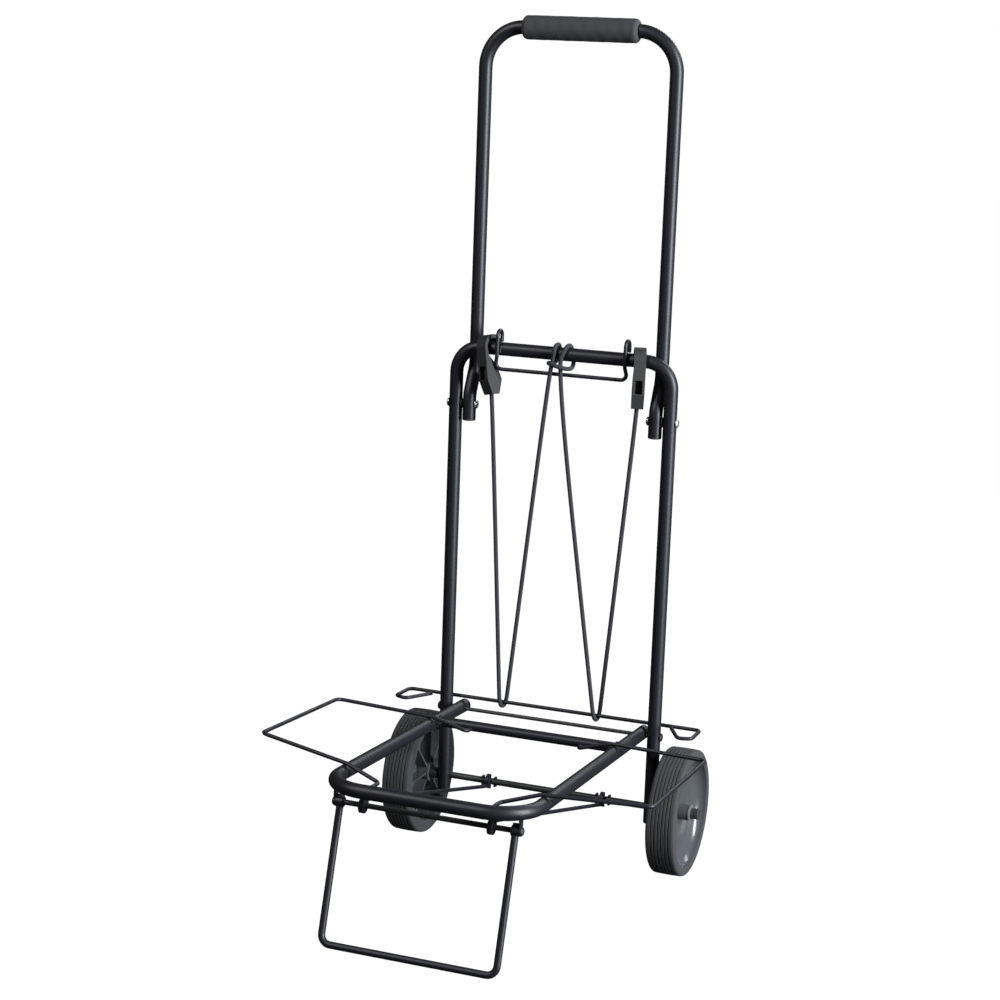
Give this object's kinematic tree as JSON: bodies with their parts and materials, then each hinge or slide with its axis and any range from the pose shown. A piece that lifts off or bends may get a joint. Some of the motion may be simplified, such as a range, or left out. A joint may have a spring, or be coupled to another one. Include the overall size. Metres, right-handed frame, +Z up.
{
  "type": "folding luggage cart",
  "caption": "Folding two-wheeled luggage cart of black steel tube with a foam-grip handle, fold-up wire-winged platform, wire stand and a hooked bungee cord.",
  "frame": {"origin": "under the middle of the cart's overall box, on the ground", "axes": "X along the wheel axle (+X to the right of somebody facing the cart's front), -Y to the platform and stand, +Z up"},
  "size_m": [0.4646, 0.4995, 1.0022],
  "materials": {
    "black_paint": "satin black paint",
    "dark_steel": "black-coated steel",
    "bright_steel": "zinc-plated, bright",
    "tyre_rubber": "dark grey rubber, matt",
    "rim_plastic": "dark grey, satin gloss",
    "black_plastic": "moulded black, satin",
    "foam": "fine-celled charcoal foam",
    "cord_braid": "black braid over elastic"
  },
  "bodies": {
    "frame": {"main_frame": "black_paint", "leg_plugs": "black_plastic", "bungee_rail": "black_paint", "hook_wire": "black_paint", "handle_rivets": "bright_steel", "handle_spacers": "black_plastic", "axle": "dark_steel", "wheel_spacers": "black_plastic", "wheel_washers": "bright_steel", "axle_caps": "black_plastic", "platform_pivot_rod": "dark_steel", "cord_hook_left": "black_plastic", "cord_hook_right": "black_plastic", "bungee_cord": "cord_braid"},
    "handle": {"handle_tube": "black_paint", "handle_plugs": "black_plastic", "handle_grip": "foam"},
    "platform": {"platform_frame": "black_paint", "platform_cross_tube": "black_paint", "platform_plugs": "black_plastic", "stand_bracket_left": "black_paint", "stand_bracket_right": "black_paint", "stand_rod": "dark_steel"},
    "stand": {"stand_leg": "black_paint"},
    "link_left": {"link_left": "black_paint"},
    "link_right": {"link_right": "black_paint"},
    "wing_left": {"wing_left": "black_paint"},
    "wing_right": {"wing_right": "black_paint"},
    "wheel_left": {"tyre_left": "tyre_rubber", "rim_left": "rim_plastic"},
    "wheel_right": {"tyre_right": "tyre_rubber", "rim_right": "rim_plastic"}
  },
  "joints": [
    {"name": "wheel_left_spin", "type": "hinge", "parent": "frame", "child": "wheel_left", "pos_m": [-0.1685, 0.17345, 0.0762], "axis": [1, 0, 0], "continuous": true},
    {"name": "wheel_right_spin", "type": "hinge", "parent": "frame", "child": "wheel_right", "pos_m": [0.1685, 0.17345, 0.0762], "axis": [1, 0, 0], "continuous": true},
    {"name": "handle_fold", "type": "hinge", "parent": "frame", "child": "handle", "pos_m": [0, 0.15711, 0.544], "axis": [-1, 0, 0], "range_deg": [0, 170]},
    {"name": "platform_fold", "type": "hinge", "parent": "frame", "child": "platform", "pos_m": [0, 0.17038, 0.1642], "axis": [-1, 0, 0], "range_deg": [0, 74]},
    {"name": "link_left_fold", "type": "hinge", "parent": "platform", "child": "link_left", "pos_m": [-0.074, -0.20725, 0.1515], "axis": [1, 0, 0], "range_deg": [0, 3]},
    {"name": "link_right_fold", "type": "hinge", "parent": "platform", "child": "link_right", "pos_m": [0.074, -0.20725, 0.1515], "axis": [1, 0, 0], "range_deg": [0, 3]},
    {"name": "stand_fold", "type": "hinge", "parent": "platform", "child": "stand", "pos_m": [0, -0.20725, 0.1515], "axis": [1, 0, 0], "range_deg": [0, 86]},
    {"name": "wing_left_fold", "type": "hinge", "parent": "platform", "child": "wing_left", "pos_m": [-0.07, -0.02963, 0.16575], "axis": [0, 0.9998, -0.0202], "range_deg": [0, 176]},
    {"name": "wing_right_fold", "type": "hinge", "parent": "platform", "child": "wing_right", "pos_m": [0.07, -0.02963, 0.16575], "axis": [0, -0.9998, 0.0202], "range_deg": [0, 170]}
  ],
  "couplings": [
    {"joint": "link_left_fold", "follows": "platform_fold", "ratio": 0.03},
    {"joint": "link_right_fold", "follows": "platform_fold", "ratio": 0.03}
  ]
}
